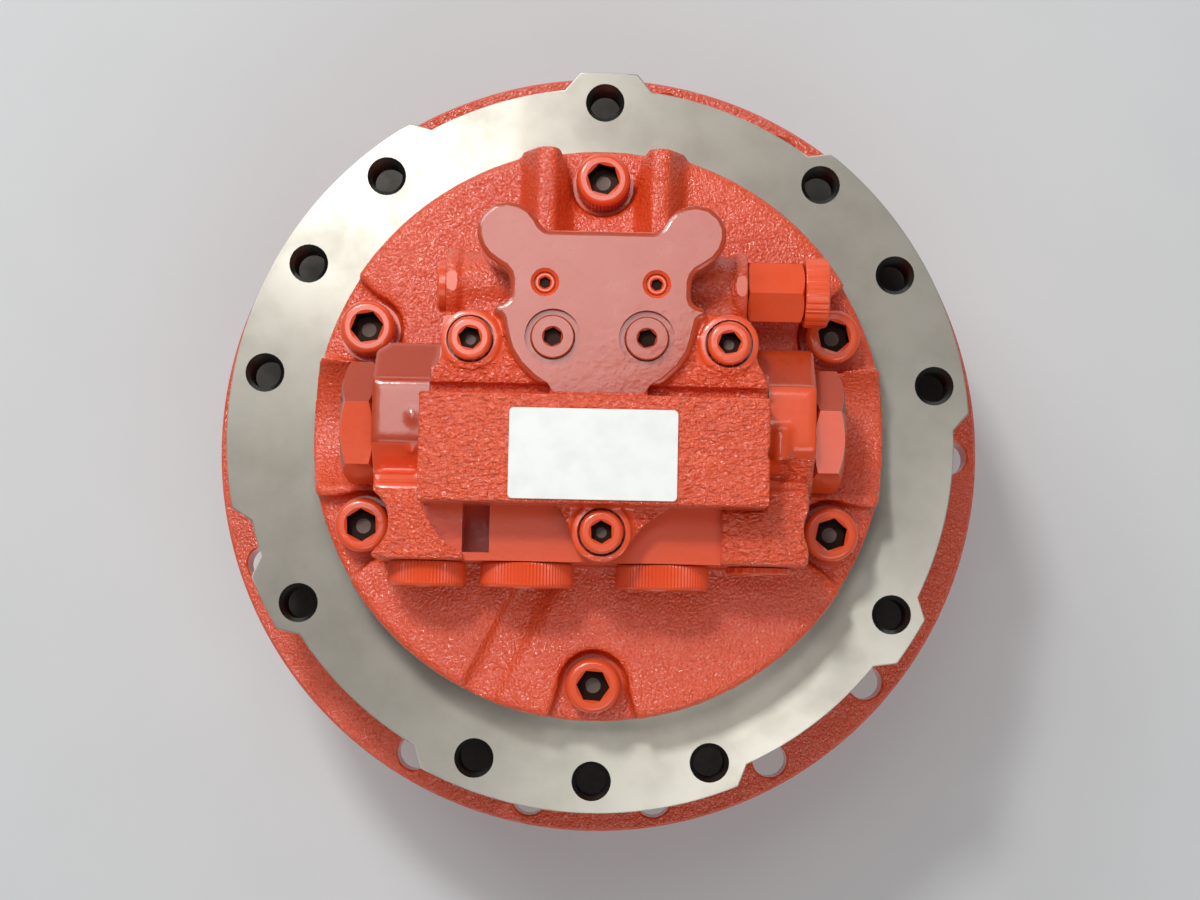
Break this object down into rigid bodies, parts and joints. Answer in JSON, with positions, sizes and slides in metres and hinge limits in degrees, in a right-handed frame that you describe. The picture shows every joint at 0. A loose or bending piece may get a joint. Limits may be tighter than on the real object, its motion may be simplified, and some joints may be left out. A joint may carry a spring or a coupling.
{
  "type": "excavator final drive",
  "caption": "Track final drive: a variable piston motor in a fixed case, and a hub with a sprocket flange turned by a two-stage planetary gearbox",
  "frame": {"origin": "centre of the box's base: on the hub's axis, level with the end cover's face that the drive stands on", "axes": "+Z along the hub's axis, out of the frame flange's machined face towards the valve block; +X to the right in the picture; +Y away from the hose ports"},
  "size_m": [0.319, 0.319, 0.2894],
  "materials": {
    "red_enamel": "glossy orange-red enamel over cast iron",
    "red_plastic_cap": "painted plastic, lightly worn",
    "turned_steel": "bare turned face",
    "ground_steel": "ground",
    "gear_steel": "case-hardened, oiled",
    "bearing_steel": "polished bearing steel",
    "black_steel": "black oxide",
    "friction_lining": "sintered lining",
    "bronze": "bearing bronze",
    "plain_label": "blank white label"
  },
  "bodies": {
    "case": {"motor_case": "turned_steel", "rear_cover": "red_enamel", "valve_block": "red_enamel", "cover_screw_1": "red_enamel", "cover_screw_2": "red_enamel", "cover_screw_3": "red_enamel", "cover_screw_4": "red_enamel", "cover_screw_5": "red_enamel", "cover_screw_6": "red_enamel", "block_screw_1": "red_enamel", "block_screw_2": "red_enamel", "block_screw_3": "red_enamel", "shuttle_plug_left": "red_enamel", "shuttle_plug_right": "red_enamel", "gauge_plug_left": "red_enamel", "gauge_plug_right": "red_enamel", "pilot_plug_left": "red_enamel", "pilot_adapter_right": "red_enamel", "pilot_dust_cap": "red_plastic_cap", "drain_port_cap": "red_plastic_cap", "main_port_cap_left": "red_plastic_cap", "main_port_cap_right": "red_plastic_cap", "speed_port_cap": "red_plastic_cap", "spool_cap_left": "red_enamel", "spool_cap_right": "red_enamel", "data_plate": "plain_label", "valve_plate": "bronze", "shaft_bearing_lower": "bearing_steel", "shaft_bearing_upper": "bearing_steel", "main_bearing_lower": "bearing_steel", "main_bearing_upper": "bearing_steel", "bearing_nut": "black_steel", "floating_seal_case_ring": "ground_steel", "planet_pin_2_a": "ground_steel", "planet_pin_2_b": "ground_steel", "planet_pin_2_c": "ground_steel"},
    "hub": {"hub": "red_enamel", "end_cover": "red_enamel", "cover_snap_ring": "black_steel", "oil_fill_plug": "black_steel", "oil_level_plug": "black_steel", "oil_drain_plug": "black_steel", "thrust_plate": "bronze", "floating_seal_hub_ring": "ground_steel"},
    "motor": {"motor_shaft": "ground_steel", "cylinder_block": "ground_steel", "piston_set": "ground_steel", "brake_disc": "friction_lining", "sun_gear_1": "gear_steel"},
    "carrier": {"carrier_1": "gear_steel", "sun_gear_2": "gear_steel"},
    "swash_plate": {"swash_plate": "ground_steel"},
    "brake_piston": {"brake_piston": "ground_steel"},
    "counterbalance_spool": {"counterbalance_spool": "ground_steel"},
    "planet_1_a": {"planet_1_a": "gear_steel"},
    "planet_2_a": {"planet_2_a": "gear_steel"},
    "planet_1_b": {"planet_1_b": "gear_steel"},
    "planet_2_b": {"planet_2_b": "gear_steel"},
    "planet_1_c": {"planet_1_c": "gear_steel"},
    "planet_2_c": {"planet_2_c": "gear_steel"}
  },
  "joints": [
    {"name": "hub_spin", "type": "hinge", "parent": "case", "child": "hub", "pos_m": [0, 0, 0], "axis": [0, 0, 1], "continuous": true},
    {"name": "carrier_spin", "type": "hinge", "parent": "case", "child": "carrier", "pos_m": [0, 0, 0], "axis": [0, 0, 1], "continuous": true},
    {"name": "motor_spin", "type": "hinge", "parent": "case", "child": "motor", "pos_m": [0, 0, 0], "axis": [0, 0, 1], "continuous": true},
    {"name": "planet_1_a_spin", "type": "hinge", "parent": "carrier", "child": "planet_1_a", "pos_m": [0, 0.063, 0], "axis": [0, 0, 1], "continuous": true},
    {"name": "planet_2_a_spin", "type": "hinge", "parent": "case", "child": "planet_2_a", "pos_m": [0.05846, 0.03375, 0], "axis": [0, 0, 1], "continuous": true},
    {"name": "planet_1_b_spin", "type": "hinge", "parent": "carrier", "child": "planet_1_b", "pos_m": [-0.05456, -0.0315, 0], "axis": [0, 0, 1], "continuous": true},
    {"name": "planet_2_b_spin", "type": "hinge", "parent": "case", "child": "planet_2_b", "pos_m": [-0.05846, 0.03375, 0], "axis": [0, 0, 1], "continuous": true},
    {"name": "planet_1_c_spin", "type": "hinge", "parent": "carrier", "child": "planet_1_c", "pos_m": [0.05456, -0.0315, 0], "axis": [0, 0, 1], "continuous": true},
    {"name": "planet_2_c_spin", "type": "hinge", "parent": "case", "child": "planet_2_c", "pos_m": [0, -0.0675, 0], "axis": [0, 0, 1], "continuous": true},
    {"name": "swash_tilt", "type": "hinge", "parent": "case", "child": "swash_plate", "pos_m": [0, 0, 0.1223], "axis": [-1, 0, 0], "range_deg": [0, 6]},
    {"name": "brake_release", "type": "slide", "parent": "case", "child": "brake_piston", "axis": [0, 0, 1], "range_m": [0, 0.0015]},
    {"name": "spool_shift", "type": "slide", "parent": "case", "child": "counterbalance_spool", "axis": [1, 0, 0], "range_m": [-0.006, 0.006]}
  ],
  "couplings": [
    {"joint": "carrier_spin", "follows": "hub_spin", "ratio": -4},
    {"joint": "motor_spin", "follows": "hub_spin", "ratio": -34},
    {"joint": "planet_1_a_spin", "follows": "hub_spin", "ratio": 12},
    {"joint": "planet_2_a_spin", "follows": "hub_spin", "ratio": 2.6667},
    {"joint": "planet_1_b_spin", "follows": "hub_spin", "ratio": 12},
    {"joint": "planet_2_b_spin", "follows": "hub_spin", "ratio": 2.6667},
    {"joint": "planet_1_c_spin", "follows": "hub_spin", "ratio": 12},
    {"joint": "planet_2_c_spin", "follows": "hub_spin", "ratio": 2.6667}
  ]
}
